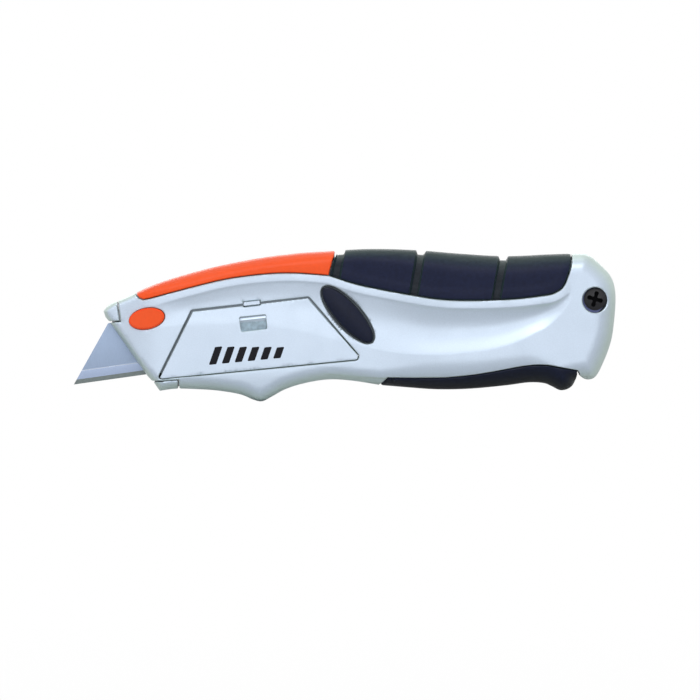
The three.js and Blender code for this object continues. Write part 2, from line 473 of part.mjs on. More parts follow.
// ---- assembly ----
const { left, right } = housing();
place("left_housing", left, "cast");
place("right_housing", right, "cast");
place("top_trim", topTrim(), "orange");
place("grip_pad", gripPad(), "rubber");
place("tail_screw", tailScrew(), "dark");
place("nose_chute", noseChute(), "cast");
place("release_button", releaseButton(), "orange");
const releaseFace = -halfAt(RELEASE.x) - RELEASE.proud + 2.5;
place("release_spring", coil(at([RELEASE.x, RELEASE.z + 0.9], releaseFace + 0.1),
  at([RELEASE.x, RELEASE.z + 0.9], -3.3), 2.25, 0.22, 3.5), "steel");
place("lock_button", lockButton(), "black");
const lockFace = -halfAt(LOCK.x) - LOCK.proud;
place("lock_pin", disc(LOCK.pin, LOCK_PIN_R, lockFace + 1.4, -2.2, 16), "steel");
place("lock_spring", coil(at(LOCK.pin, lockFace + 2.1), at(LOCK.pin, -4.5), 2, 0.22, 3.5), "steel");
place("squeeze_lever", squeezeLever(), "black");
place("lever_web", leverWeb(), "zinc");
place("lever_pin", disc(LEVER_PIVOT, PIVOT_R, -LEVER_PIN_END, LEVER_PIN_END, 16), "steel");
place("swing_arm", swingArm(), "zinc");
place("swing_arm_pin", disc(ARM_PIVOT, PIVOT_R, -ARM_PIN_END, ARM_PIN_END, 16), "steel");
place("drive_pin", disc(DRIVE_PIN, DRIVE_PIN_R, WEB_Y[0], 5.1, 16), "steel");
place("arm_end_pin", disc(END_PIN, END_PIN_R, 0.9, 5.1, 16), "steel");
place("blade_carrier", bladeCarrier(), "zinc");
place("blade", bladeSolid(onBlade, 0), "steel");
place("return_spring", coil(at(onBlade([bladeU(END_PIN) + 5, 11]), 1.5),
  at(onBlade([bladeU(END_PIN) + 45.4, 11]), 1.5), 1.25, 0.25, 14, 1.6, 5, 8), "steel");
place("magazine_tray", magazineTray(), "grey");
place("magazine_door", magazineDoor(), "cast");
place("door_hinge_rod", rod(at(onDoor(-1.3, BARREL_R), HINGE_Y), at(onDoor(68.6, BARREL_R), HINGE_Y),
  ROD_R, 10), "steel");
place("door_catch", doorCatch(), "grey");
place("catch_spring", coil([60.2, DOOR_IN + 1.2, 19.4], [60.2, DOOR_IN + 1.2, 22.3], 0.7, 0.18, 4, 0, 5, 8),
  "steel");
place("magazine_spring", magazineSpring(), "steel");
for (let i = 0; i < SPARES; i++)
  place("spare_blade_" + (i + 1), bladeSolid(onRack, SPARE_Y - i * SPARE_PITCH), "steel");

// The frame: middle of the length and width over the origin, lowest point at z = 0.
const extent = new THREE.Box3().setFromObject(root), middle = extent.getCenter(new THREE.Vector3());
for (const mesh of root.children) mesh.geometry.translate(-middle.x, -middle.y, -extent.min.z);

export default root;
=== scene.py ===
# Looks for the squeeze-grip utility knife: fine skins over the CAD frame, finishes, studio and camera.
# Lengths below are millimetres in the drawing frame (x from the blade tip, z from the finger guard);
# place() turns them into metres in the row frame.
import json
import math

import bmesh
import bpy
import numpy as np
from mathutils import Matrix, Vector
from mathutils.geometry import delaunay_2d_cdt
from mathutils.kdtree import KDTree


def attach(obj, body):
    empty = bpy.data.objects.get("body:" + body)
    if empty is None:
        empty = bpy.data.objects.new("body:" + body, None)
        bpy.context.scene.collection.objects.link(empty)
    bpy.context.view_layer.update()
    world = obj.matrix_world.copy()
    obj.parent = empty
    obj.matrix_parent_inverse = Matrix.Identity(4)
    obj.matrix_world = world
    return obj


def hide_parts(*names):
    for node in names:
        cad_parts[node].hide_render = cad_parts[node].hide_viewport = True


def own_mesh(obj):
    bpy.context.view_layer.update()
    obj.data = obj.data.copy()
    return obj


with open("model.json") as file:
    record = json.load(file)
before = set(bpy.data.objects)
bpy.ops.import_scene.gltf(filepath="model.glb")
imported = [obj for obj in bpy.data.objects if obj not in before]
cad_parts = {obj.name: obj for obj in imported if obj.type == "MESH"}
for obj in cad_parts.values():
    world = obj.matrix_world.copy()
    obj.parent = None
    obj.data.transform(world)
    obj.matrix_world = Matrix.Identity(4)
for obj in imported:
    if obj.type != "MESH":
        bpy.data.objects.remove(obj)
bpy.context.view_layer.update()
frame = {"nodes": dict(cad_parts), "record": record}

SHIFT_X, SHIFT_Z = -91.045, 0.014

# ---- outlines, as in the CAD source ----
NOSE_LINE = [(10, 30.2), (10.7, 28.2), (12.4, 26.2), (17.5, 18.8), (24.6, 8.7), (26.9, 6.2)]
BELLY = [(28.9, 3.5), (34.5, 4.2), (42.4, 4), (49, 3.5), (55.9, 2.3), (60.4, 0.5), (63.3, 0), (66.6, 1.6),
         (71, 4), (77.3, 6), (85.4, 7.3), (93.5, 6.9), (103.1, 5.4)]
LEVER_BELLY = [(111.5, 4.7), (122, 4), (133, 4.2), (145, 5.3), (152.7, 6.3), (157.7, 6.1), (160.4, 5.1),
               (163.2, 3.75), (165.6, 4.0), (167.5, 5.3), (168.7, 7.6)]
TAIL = [(169.5, 9.2), (170.2, 8.4), (171.6, 7.5), (173.1, 7.3), (174.8, 7.9), (176.2, 9.6), (177.8, 12.9),
        (179.5, 17.1), (180.9, 22.2), (181.8, 30), (182, 34.5), (181.8, 37.6), (181.1, 40.4), (179.5, 43.2),
        (176.1, 46.6), (173.3, 49)]
BACK = [(171.9, 49.5), (170.6, 49.6), (160, 49.3), (145, 48.7), (130, 49.5), (115, 50.7), (100, 51.1),
        (87.4, 50.5), (75, 49.7), (61.2, 47.9), (45.1, 44.6), (29, 39.9), (20.7, 36.4), (14.4, 33.7),
        (12.7, 32.9), (11.3, 31.9), (10.4, 30.9)]
TRIM_EDGE = [(25.2, 34.5), (27.6, 35.1), (39.6, 38.3), (51.5, 41.1), (63.6, 42.7), (74, 43.1), (85.6, 42.3)]
PAD_EDGE = [(86, 42.2), (96.4, 39), (112.8, 35.8), (123.8, 34.2), (135.4, 33.9), (147.8, 34.4),
            (156.5, 35.4), (160.2, 36), (162.2, 36.9), (163.7, 38), (164.7, 39.5), (165.6, 41.8),
            (166.4, 44.2), (166.8, 46.6), (167, 50)]
DOOR = [(28.5, 7.5), (95.2, 14), (95.6, 15.3), (78.9, 34.8), (39.8, 30.4)]
DOOR_PANEL = [(28.9, 7.5), (95.2, 14), (95.6, 15.3), (78.7, 34.5), (40.1, 30.05)]
LEVER_TOP = [(168.9, 10.0), (162.9, 11.2), (157.8, 11.9), (151, 11.5), (137.2, 9.0), (126, 7.7), (116, 7.5),
             (105.6, 7.6)]
LEVER_END = 168.95
CAP = [(8, 26.1), (15.7, 26.9), (14.8, 33.1), (14.3, 36), (8, 36)]
CORNER = [(25.5, 0), (35.2, 0), (35.2, 6.9), (26.9, 6.4), (25.5, 6.3)]
CATCH_WINDOW = [(56.4, 23.3), (65, 24.3), (64.5, 29.1), (55.7, 28.2)]
RELEASE = dict(x=24.7, z=27.6, a=5.8, b=3.3, tilt=math.radians(11))
LOCK = dict(x=92.0, z=29.0, a=12.2, b=4.3, tilt=math.radians(-47.8))
SCREW = (174.9, 33.9)
# soft crest that runs along the flank and turns into the lower edge of the thumb scoop
CREST = [(24, 24.5), (29.8, 24.8), (38.8, 25.9), (55, 26.3), (66.3, 25.8), (88.4, 20.9), (101, 17.6),
         (112, 15.9), (123, 15.6), (133.1, 16.4), (141.6, 17.7), (148.5, 19.8), (153.6, 22.2),
         (158.7, 24.9), (162.2, 28), (164.6, 30.7), (166.2, 33.4)]
SLIT = [(80, 9.3), (86.1, 9.2), (94.6, 8.3), (105.4, 7.8)]
GAP = 0.28  # seen between neighbouring pieces
SHELL, COVER, THIN_COVER = 2.4, 1.5, 1.2  # how deep the skins go
DOOR_BACK, DOOR_LINER = 7.0, 7.2  # depth of the door skin's back and of the CAD liner behind it
DOOR_LEAN = math.radians(5.566)  # how far the door's hinge line rises towards the tail
ON_LINE = 2e-3  # a point this near a line counts as on it


def curve(points, step=0.6):
    """Catmull-Rom through the points, sampled about every step mm."""
    p = np.array(points, float)
    out = []
    for i in range(len(p) - 1):
        a, b, c, d = p[max(i - 1, 0)], p[i], p[i + 1], p[min(i + 2, len(p) - 1)]
        n = max(2, int(np.ceil(np.linalg.norm(c - b) / step)))
        t = np.linspace(0, 1, n, endpoint=False)[:, None]
        v0, v1 = (c - a) / 2, (d - b) / 2
        out.append((2 * b - 2 * c + v0 + v1) * t**3 + (3 * c - 3 * b - 2 * v0 - v1) * t**2 + v0 * t + b)
    return np.vstack(out + [p[-1:]])


def straight(points, step=0.6, closed=True):
    """The straight lines between the points, sampled about every step mm."""
    p = np.array(points, float)
    q = np.vstack([p, p[:1]]) if closed else p
    out = []
    for a, b in zip(q[:-1], q[1:]):
        n = max(1, int(np.ceil(np.linalg.norm(b - a) / step)))
        out.append(a + (b - a) * np.linspace(0, 1, n, endpoint=False)[:, None])
    return np.vstack(out if closed else out + [q[-1:]])


def rounded(points, radius, step=0.35):
    """A closed polygon with its corners rounded."""
    p = np.array(points, float)
    out = []
    for i in range(len(p)):
        a, b, c = p[i - 1], p[i], p[(i + 1) % len(p)]
        u, v = (a - b) / np.linalg.norm(a - b), (c - b) / np.linalg.norm(c - b)
        half = math.acos(np.clip(u @ v, -1, 1)) / 2
        cut = min(radius / math.tan(half), 0.45 * np.linalg.norm(a - b), 0.45 * np.linalg.norm(c - b))
        s, e = b + u * cut, b + v * cut
        for t in np.linspace(0, 1, 6):
            out.append((1 - t) ** 2 * s + 2 * t * (1 - t) * b + t * t * e)
    return straight(out, step)


def area(p):
    x, z = p[:, 0], p[:, 1]
    return 0.5 * np.sum(x * np.roll(z, -1) - np.roll(x, -1) * z)


def unit(v):
    """Each row scaled to length one."""
    return v / (np.linalg.norm(v, axis=1)[:, None] + 1e-12)


def grow(p, d):
    """The outline moved out by d all round."""
    p = np.array(p, float)
    if area(p) < 0:
        p = p[::-1]
    a, b = unit(p - np.roll(p, 1, 0)), unit(np.roll(p, -1, 0) - p)
    n1, n2 = np.c_[a[:, 1], -a[:, 0]], np.c_[b[:, 1], -b[:, 0]]
    k = d / np.maximum(1 + (n1 * n2).sum(1), 0.5)
    return p + k[:, None] * (n1 + n2)


def inset(p, d):
    """The outline moved in by d, which has a value for each point."""
    a, b = unit(p - np.roll(p, 1, 0)), unit(np.roll(p, -1, 0) - p)
    n = unit(np.c_[a[:, 1] + b[:, 1], -a[:, 0] - b[:, 0]])
    return p - n * d[:, None]


def ellipse(e, more=0.0, n=72):
    t = np.linspace(0, 2 * math.pi, n, endpoint=False)
    u, v = (e["a"] + more) * np.cos(t), (e["b"] + more) * np.sin(t)
    c, s = math.cos(e["tilt"]), math.sin(e["tilt"])
    return np.c_[e["x"] + u * c - v * s, e["z"] + u * s + v * c]


def circle(centre, r, n=48):
    return ellipse(dict(x=centre[0], z=centre[1], a=r, b=r, tilt=0), 0, n)


SILHOUETTE = np.vstack([
    straight(NOSE_LINE, closed=False), curve(BELLY), curve(LEVER_BELLY)[1:],
    straight([(168.7, 7.6), (169.1, 9.2), (169.5, 9.2)], 0.4, closed=False)[1:-1],
    curve(TAIL), curve(BACK),
])
TRIM = np.vstack([[(20.9, 36.9), (21.3, 35.7), (22.1, 34.75), (23.5, 34.2)], curve(TRIM_EDGE),
                  [(87.7, 50.3), (89.2, 58), (17, 58)]])
PAD = np.vstack([curve(PAD_EDGE), [(167.9, 58), (90, 58), (88.1, 50.3)]])
LEVER = np.vstack([[(102.9, 5.2), (104.5, -3), (171, -3), (169.3, 9.0)], curve(LEVER_TOP)])
TRIM, PAD, LEVER = (straight(p) for p in (TRIM, PAD, LEVER))


def inside(q, poly):
    """Which of the points are inside the outline."""
    q = np.asarray(q, float)
    x, z = q[:, 0], q[:, 1]
    hit = np.zeros(len(q), bool)
    for (ax, az), (bx, bz) in zip(poly, np.roll(poly, -1, 0)):
        if az == bz:
            continue
        cross = (az > z) != (bz > z)
        hit ^= cross & (x < (bx - ax) * (z - az) / (bz - az) + ax)
    return hit


def distance(q, seg_a, seg_b, chunk=4000):
    """Least distance from each point to the segments."""
    q = np.asarray(q, float)
    d = seg_b - seg_a
    l2 = np.maximum((d * d).sum(1), 1e-12)
    out = np.empty(len(q))
    for i in range(0, len(q), chunk):
        w = q[i:i + chunk, None, :] - seg_a[None]
        t = np.clip((w * d[None]).sum(2) / l2[None], 0, 1)
        e = w - t[..., None] * d[None]
        out[i:i + chunk] = np.sqrt((e * e).sum(2).min(1))
    return out


def to_line(q, line):
    p = np.asarray(line, float)
    return distance(q, p[:-1], p[1:])


def to_silhouette(q):
    return distance(q, SILHOUETTE, np.roll(SILHOUETTE, -1, 0))


def in_region(q, keep, cut):
    """Which points are inside every outline of keep and outside every one of cut."""
    ok = np.ones(len(q), bool)
    for p in keep:
        ok &= inside(q, p)
    for p in cut:
        ok &= ~inside(q, p)
    return ok


def step(t):
    """0 below 0, 1 above 1, and a smooth rise between."""
    t = np.clip(t, 0, 1)
    return t * t * (3 - 2 * t)


def ramp(x, x0, x1, a, b):
    """a up to x0, b from x1, and a smooth change between."""
    return a + (b - a) * step((x - x0) / (x1 - x0))


def half_at(x):
    """Half the body's thickness at x."""
    x = np.asarray(x, float)
    return np.where(x < 29, ramp(x, 10, 29, 6.6, 8.5),
                    np.where(x < 130, ramp(x, 99, 130, 8.5, 10.6), ramp(x, 150, 182, 10.6, 9.2)))


def round_at(x):
    """How far in from the silhouette the edge rounding reaches at x."""
    x = np.asarray(x, float)
    return np.where(x < 60, ramp(x, 20, 40, 2.0, 4.6),
                    np.where(x < 140, ramp(x, 92, 130, 4.6, 7.4), ramp(x, 150, 170, 7.4, 6.4)))


POWER = 2.2  # fullness of the edge rounding
ROUNDING = SILHOUETTE[~((SILHOUETTE[:, 0] > 168.4) & (SILHOUETTE[:, 0] < 172) & (SILHOUETTE[:, 1] < 9.6))]
LOWER_TRIM = np.vstack([curve(TRIM_EDGE), curve(PAD_EDGE)[:-9]])
CREST_LINE, SLIT_LINE = curve(CREST), curve(SLIT)
VALLEY = np.vstack([CREST_LINE, LOWER_TRIM[::-1]])
RIM = 2.95  # width of the raised band under trim and pads


def depth_at(q, d):
    """Half width of the body at points q that are d inside the silhouette: the rounded slab, a raised band
    under trim and pads, a shallow valley from there to the crest (deep in the grip, as a thumb scoop), and
    the step of the slit ahead of the lever."""
    x, z = q[:, 0], q[:, 1]
    h = half_at(x)
    fuller = 2.8 * ramp(x, 98, 122, 0, 1) * ramp(x, 150, 165, 1, 0) * step((24 - z) / 6)
    t = 1 - np.clip(d / (round_at(x) + fuller), 0, 1)
    y = h * (1 - t**POWER) ** (1 / POWER)
    d_rim, d_crest = to_line(q, LOWER_TRIM), to_line(q, CREST_LINE)
    below = np.maximum(d_rim - RIM, 0)
    share = d_crest / np.maximum(d_crest + below, 1e-6)
    deep = ramp(x, 22, 44, 0, 0.75) * ramp(x, 70, 96, 1, 1.2) * ramp(x, 100, 120, 1, 1.75)
    deep = deep * (1 - step((x - 156) / 12))
    valley = np.where(inside(q, VALLEY), np.sin(math.pi * share**1.15), 0) * deep
    crown = 0.5 * step((10 - z) / 10) * ramp(x, 36, 60, 0, 1) * ramp(x, 75, 90, 1, 0)
    band = 0.22 * (1 - step((d_rim - RIM + 0.3) / 0.8))
    band = band * ramp(x, 24, 44, 0.2, 1) * (1 - step((x - 164) / 3))
    under = np.interp(x, SLIT_LINE[:, 0], SLIT_LINE[:, 1]) - z
    slit = 0.9 * step(under / 0.25) * ramp(x, 82, 90, 0, 1) * (x < 107)
    return np.maximum(y - (valley + crown - band) * step(d / 3) - slit * step(d / 0.8), 0)


def triangulate(points, edges):
    v, _, f, *_ = delaunay_2d_cdt([Vector(p) for p in points], edges, [], 0, 1e-6)
    return np.array([tuple(p) for p in v]), np.array([tuple(t) for t in f if len(t) == 3], int)


def counter_clockwise(V, F):
    """The triangles F, in place, all turned the same way round."""
    turn = np.cross(V[F[:, 1]] - V[F[:, 0]], V[F[:, 2]] - V[F[:, 0]])
    F[turn < 0] = F[turn < 0][:, ::-1]
    return F


def outline_edges(outlines):
    """The points of closed outlines in one list, and the edges that join them."""
    points, edges = [], []
    for p in outlines:
        start, n = len(points), len(p)
        edges += [(start + i, start + (i + 1) % n) for i in range(n)]
        points += [tuple(q) for q in p]
    return points, edges


def region_boundary(keep, cut):
    """The points round a region, and the pairs of them that its boundary joins."""
    v, f = triangulate(*outline_edges(keep + cut))
    f = f[in_region(v[f].mean(1), keep, cut)]
    count = {}
    for t in f:
        for a, b in ((t[0], t[1]), (t[1], t[2]), (t[2], t[0])):
            k = (min(a, b), max(a, b))
            count[k] = count.get(k, 0) + 1
    bound = [k for k, n in count.items() if n == 1]
    used = sorted({i for e in bound for i in e})
    index = {i: j for j, i in enumerate(used)}
    return v[used], [(index[a], index[b]) for a, b in bound]


def two_sided(F, n):
    """Triangles F as front faces, and again, turned, on the back's points, which follow the n front ones."""
    return [tuple(f) for f in F] + [(f[2] + n, f[1] + n, f[0] + n) for f in F]


class Skin:
    """A closed skin over a region of the side view: the body's smooth surface, with a rounded edge where it
    is cut, pushed in by `thick`. Its faces are of kind 0 in front, 1 on the walls and 2 at the back."""

    def __init__(self, keep, cut, fillet=0.3, thick=1.4, bump=None, lines=(), spacing=0.9, base=None,
                 wrap=False, seam=0.08):
        self.keep, self.cut, self.fillet, self.base, self.wrap = keep, cut, fillet, base, wrap
        outline, edges = region_boundary(keep, cut)
        on_rim = to_silhouette(outline) < ON_LINE
        cut_edges = [k for k in edges if not (on_rim[k[0]] and on_rim[k[1]])]
        if cut_edges:
            self.cut_a, self.cut_b = (outline[[k[i] for k in cut_edges]] for i in (0, 1))
        else:  # a line far off
            self.cut_a, self.cut_b = np.array([[1e3, 1e3]]), np.array([[1e3, 1.1e3]])
        rings = self.rim_rings() if base is None else []
        rings += self.cut_rings() if cut_edges else []
        rings += self.rings_along(lines)
        rings = thin(np.vstack(rings) if rings else np.zeros((0, 2)), 0.10)
        grid = self.grid(outline, rings, spacing)
        V, F = triangulate([tuple(p) for p in np.vstack([outline, rings, grid])], edges)
        F = F[in_region(V[F].mean(1), keep, cut)]
        used = np.unique(F)
        index = -np.ones(len(V), int)
        index[used] = np.arange(len(used))
        self.flat, self.tris = V[used], index[F]
        counter_clockwise(self.flat, self.tris)
        self.close(*self.surfaces(thick, bump, seam))

    def free(self, q, least):
        """Those of the points that are in the region and at least that far from its cut edges."""
        good = in_region(q, self.keep, self.cut)
        good[good] &= distance(q[good], self.cut_a, self.cut_b) > least * 0.93
        return q[good]

    def rim_rings(self):
        """Points that follow the silhouette, closer together where the rounding is steep."""
        rings = []
        for phi in np.radians([12, 24, 36, 50, 65, 80]):
            d = round_at(SILHOUETTE[:, 0]) * (1 - np.cos(phi) ** (2 / POWER))
            ring = inset(SILHOUETTE, d)
            rings.append(self.free(ring[to_silhouette(ring) > d * 0.95], 0.12))
        return rings

    def cut_rings(self):
        """Points that follow the cut edges, for the fillet."""
        along = self.cut_b - self.cut_a
        middle, normal = (self.cut_a + self.cut_b) / 2, unit(np.c_[along[:, 1], -along[:, 0]])
        return [self.free(middle + side * normal * share * self.fillet, share * self.fillet)
                for share in (0.12, 0.35, 0.7, 1.05) for side in (1, -1)]

    def rings_along(self, lines):
        """Points beside each of the lines, at its offsets."""
        rings = []
        for line, offsets in lines:
            p = np.asarray(line, float)
            t = unit(np.gradient(p, axis=0))
            n = np.c_[t[:, 1], -t[:, 0]]
            rings += [self.free(p + n * offset, self.fillet * 1.2) for offset in offsets]
        return rings

    def grid(self, outline, rings, spacing):
        """A triangular grid of points over the rest of the region."""
        low, high = outline.min(0), outline.max(0)
        x, z = np.meshgrid(np.arange(low[0], high[0], spacing), np.arange(low[1], high[1], spacing * 0.87))
        x = x + (np.arange(x.shape[0]) % 2)[:, None] * spacing / 2
        points = self.free(np.c_[x.ravel(), z.ravel()], self.fillet * 1.5)
        if self.base is None:
            points = points[to_silhouette(points) > 0.25]
        tree = KDTree(len(rings) + len(outline))
        for i, p in enumerate(np.vstack([rings, outline])):
            tree.insert((p[0], p[1], 0), i)
        tree.balance()
        clear = [p for p in points if (tree.find((p[0], p[1], 0))[2] or 9) > spacing * 0.45]
        return np.array(clear).reshape(-1, 2)

    def surfaces(self, thick, bump, seam):
        """Front and back points, and which of them are on the silhouette."""
        V, F, fillet = self.flat, self.tris, self.fillet
        from_rim = distance(V, ROUNDING, np.roll(ROUNDING, -1, 0))
        from_cut = distance(V, self.cut_a, self.cut_b)
        y = depth_at(V, from_rim) if self.base is None else self.base(V)
        edge = to_silhouette(V) < ON_LINE if self.base is None else np.zeros(len(V), bool)
        y[edge] = 0 if self.wrap else seam
        P = np.c_[V[:, 0], -y, V[:, 1]]
        N = normals(P, F)
        N[edge, 1] = 0
        N = unit(N)
        t = 1 - np.clip(from_cut / fillet, 0, 1)
        drop = fillet * (1 - np.sqrt(np.maximum(1 - t * t, 0)))
        lift = np.zeros(len(V)) if bump is None else bump(V)
        front = P + N * (lift - drop)[:, None]
        if not self.wrap:
            front[edge, 1] = -seam
        back = P - N * thick
        back[:, 1] = np.minimum(back[:, 1], 0 if self.wrap else -seam)
        back[edge, 1] = 0 if self.wrap else -seam
        return front, back, edge

    def close(self, front, back, edge):
        """Walls between front and back, and the mirror half of a skin that wraps round the body."""
        F, n = self.tris, len(front)
        pairs = {(t[k], t[(k + 1) % 3]): None for t in F for k in range(3)}
        walls = [(a, b) for a, b in pairs if (b, a) not in pairs]
        if self.wrap:
            walls = [(a, b) for a, b in walls if not (edge[a] and edge[b])]
        self.verts = np.vstack([front, back])
        self.faces = two_sided(F, n) + [(b, a, a + n, b + n) for a, b in walls]
        self.kind = [0] * len(F) + [2] * len(F) + [1] * len(walls)
        if self.wrap:
            self.faces = self.faces + [tuple(i + 2 * n for i in f[::-1]) for f in self.faces]
            self.verts = np.vstack([self.verts, self.verts * [1, -1, 1]])
            self.kind = self.kind + self.kind

    def flipped(self):
        self.verts = self.verts * [1, -1, 1]
        self.faces = [tuple(f[::-1]) for f in self.faces]
        return self


def thin(points, least):
    """The points without those that share a square of side `least` with an earlier one."""
    seen, out = set(), []
    for p in points:
        k = (round(p[0] / least), round(p[1] / least))
        if k not in seen:
            seen.add(k)
            out.append(p)
    return np.array(out).reshape(-1, 2)


def normals(P, F):
    """The surface's normal at each point."""
    n = np.cross(P[F[:, 1]] - P[F[:, 0]], P[F[:, 2]] - P[F[:, 0]])
    out = np.zeros_like(P)
    for k in range(3):
        np.add.at(out, F[:, k], n)
    return out / (np.linalg.norm(out, axis=1)[:, None] + 1e-12)


def place(v):
    """Millimetres in the drawing frame as metres in the row frame."""
    v = np.asarray(v, float)
    return np.c_[(v[:, 0] + SHIFT_X), v[:, 1], (v[:, 2] + SHIFT_Z)] / 1000


def make(name, parts, materials):
    """One smooth mesh object from (verts, faces, material numbers) parts in metres."""
    verts, faces, kinds, base = [], [], [], 0
    for v, f, k in parts:
        verts.append(np.asarray(v, float))
        kinds += list(k)
        faces += [tuple(int(i) + base for i in t) for t in f]
        base += len(v)
    mesh = bpy.data.meshes.new(name)
    mesh.from_pydata([tuple(p) for p in np.vstack(verts)], [], faces)
    for m in materials:
        mesh.materials.append(m)
    mesh.polygons.foreach_set("material_index", [min(k, len(materials) - 1) for k in kinds])
    mesh.validate()
    obj = bpy.data.objects.new(name, mesh)
    bpy.context.scene.collection.objects.link(obj)
    b = bmesh.new()
    b.from_mesh(mesh)
    bmesh.ops.remove_doubles(b, verts=b.verts, dist=1e-7)
    b.to_mesh(mesh)
    b.free()
    mesh.polygons.foreach_set("use_smooth", [True] * len(mesh.polygons))
    mesh.set_sharp_from_angle(angle=math.radians(42))
    return obj


def skin_part(s):
    return place(s.verts), s.faces, s.kind


def cad_mesh(node):
    """Points (metres) and faces of a CAD node."""
    mesh = frame["nodes"][node].data
    return np.array([v.co[:] for v in mesh.vertices]), [tuple(p.vertices) for p in mesh.polygons]


def cad_behind(node, depth, kind):
    """The CAD node's mesh as a part, with what lies further out than depth mm pressed back to it."""
    co, faces = cad_mesh(node)
    co[:, 1] = np.maximum(co[:, 1], -depth / 1000)
    return co, faces, [kind] * len(faces)


def cad_part(node, fit=True):
    """The CAD node's mesh as a part, tucked under the fine skin so that only its inside shows."""
    co, faces = cad_mesh(node)
    q = np.c_[co[:, 0] * 1000 - SHIFT_X, co[:, 2] * 1000 - SHIFT_Z]
    y = co[:, 1] * 1000
    if fit:
        near = to_silhouette(q)
        near = np.where(inside(q, SILHOUETTE), near, -near)
        inward = np.zeros_like(q)
        for i in np.where(near < 0.8)[0]:
            d = ((SILHOUETTE - q[i]) ** 2).sum(1)
            j = int(d.argmin())
            t = SILHOUETTE[(j + 1) % len(SILHOUETTE)] - SILHOUETTE[j - 1]
            inward[i] = np.array([-t[1], t[0]]) / (np.linalg.norm(t) + 1e-9)
        q = q + inward * (0.8 - np.minimum(near, 0.8))[:, None]
        near = np.maximum(near, 0.8)
        limit = np.minimum(depth_at(q, near) - 0.7, half_at(q[:, 0]) - ramp(q[:, 0], 24, 34, 0.9, 2.6))
        y = np.sign(y) * np.minimum(np.abs(y), np.maximum(limit, 0.3))
    v = np.c_[q[:, 0], y, q[:, 1]]
    if fit:
        mid = np.array([q[list(f)].mean(0) for f in faces])
        faces = [f for f, ok in zip(faces, inside(mid, grow(SILHOUETTE, -0.3))) if ok]
    return place(v), faces, [2] * len(faces)


# ---- materials ----
def shader(tree, kind, values=(), **settings):
    """A new shader node, with values for its inputs and other settings."""
    n = tree.nodes.new("ShaderNode" + kind)
    for name, value in settings.items():
        setattr(n, name, value)
    for name, value in dict(values).items():
        n.inputs[name].default_value = value
    return n


def material(name, base, rough, metal=0.0, grain=0.0, grain_scale=900.0, wear=0.03, bump=0.02,
             bump_scale=700.0, stretch=(1, 1, 1), spec=0.5, edge=None):
    """Procedural finish: a soft colour drift and grain, uneven roughness, a fine bump, and painted edge shade
    or sheen.
    """
    m = bpy.data.materials.new(name)
    m.use_nodes = True
    tree = m.node_tree
    link = tree.links.new
    surface = tree.nodes["Principled BSDF"]
    surface.inputs["Metallic"].default_value = metal
    surface.inputs["Specular IOR Level"].default_value = spec
    where = shader(tree, "Mapping", {"Scale": stretch})
    link(shader(tree, "TexCoord").outputs["Object"], where.inputs["Vector"])

    def noise(scale, detail):
        n = shader(tree, "TexNoise", {"Scale": scale, "Detail": detail, "Roughness": 0.5})
        link(where.outputs["Vector"], n.inputs["Vector"])
        return n.outputs["Fac"]

    drift = shader(tree, "Mix", data_type="RGBA")
    drift.inputs[6].default_value = (*[c * (1 - wear) for c in base], 1)
    drift.inputs[7].default_value = (*[min(c * (1 + wear), 1) for c in base], 1)
    link(noise(45, 3), drift.inputs[0])
    tone = drift.outputs[2]
    if edge:  # painted shade or sheen: the colour turns towards this one where the surface slopes away from the camera
        facing = shader(tree, "LayerWeight", {"Blend": 0.5})
        turn = shader(tree, "MapRange", {"From Min": 0.06, "From Max": 0.6})
        link(facing.outputs["Facing"], turn.inputs["Value"])
        far = shader(tree, "Mix", data_type="RGBA")
        far.inputs[7].default_value = (*edge, 1)
        link(turn.outputs["Result"], far.inputs[0])
        link(tone, far.inputs[6])
        tone = far.outputs[2]
    shade = shader(tree, "MapRange", {"From Min": 0.3, "From Max": 0.7, "To Min": 1 - grain, "To Max": 1.0})
    link(noise(grain_scale, 2), shade.inputs["Value"])
    grained = shader(tree, "Mix", {0: 1.0}, data_type="RGBA", blend_type="MULTIPLY")
    link(tone, grained.inputs[6])
    link(shade.outputs["Result"], grained.inputs[7])
    link(grained.outputs[2], surface.inputs["Base Color"])
    uneven = shader(tree, "MapRange", {"To Min": max(rough - 0.06, 0.03), "To Max": rough + 0.08})
    link(noise(160, 4), uneven.inputs["Value"])
    link(uneven.outputs["Result"], surface.inputs["Roughness"])
    relief = shader(tree, "Bump", {"Strength": bump, "Distance": 0.00002})
    link(noise(bump_scale, 3), relief.inputs["Height"])
    link(relief.outputs["Normal"], surface.inputs["Normal"])
    return m


# The edge colours are painted light: greenish painted shade on the silver, a faint painted sheen on the dark
# finishes.
SILVER = material("cast_silver", (0.565, 0.66, 0.785), 0.42, 0.5, grain=0.06, grain_scale=2600, bump=0.3,
                  bump_scale=1800, wear=0.025, edge=(0.59, 0.71, 0.68))
# Near black on the cut walls of the skins: painted shade so that the gaps between pieces read dark.
GAP_SHADE = material("gap_wall_painted_shade", (0.065, 0.078, 0.095), 0.6, 0.3, grain=0.2, bump=0.5, spec=0.2)
INNER = material("cast_inside", (0.20, 0.235, 0.28), 0.5, 0.4, grain=0.15, bump=0.4, spec=0.3)
ORANGE = material("orange_plastic", (1.0, 0.098, 0.012), 0.40, grain=0.04, bump=0.2, bump_scale=1400,
                  wear=0.04, spec=0.25)
RUBBER = material("grip_rubber", (0.0080, 0.0125, 0.042), 0.5, grain=0.25, bump=0.5, bump_scale=2200,
                  wear=0.12, spec=0.16, edge=(0.028, 0.050, 0.052))
GROOVE = material("grip_groove", (0.020, 0.026, 0.036), 0.6, grain=0.25, bump=0.5, spec=0.2,
                  edge=(0.07, 0.09, 0.09))
BLACK = material("black_plastic", (0.0068, 0.0105, 0.030), 0.40, grain=0.2, bump=0.4, bump_scale=1800,
                 wear=0.1, spec=0.16, edge=(0.012, 0.016, 0.02))
DARK = material("dark_steel", (0.007, 0.007, 0.011), 0.28, 0.0, grain=0.1, bump=0.3, spec=0.35)
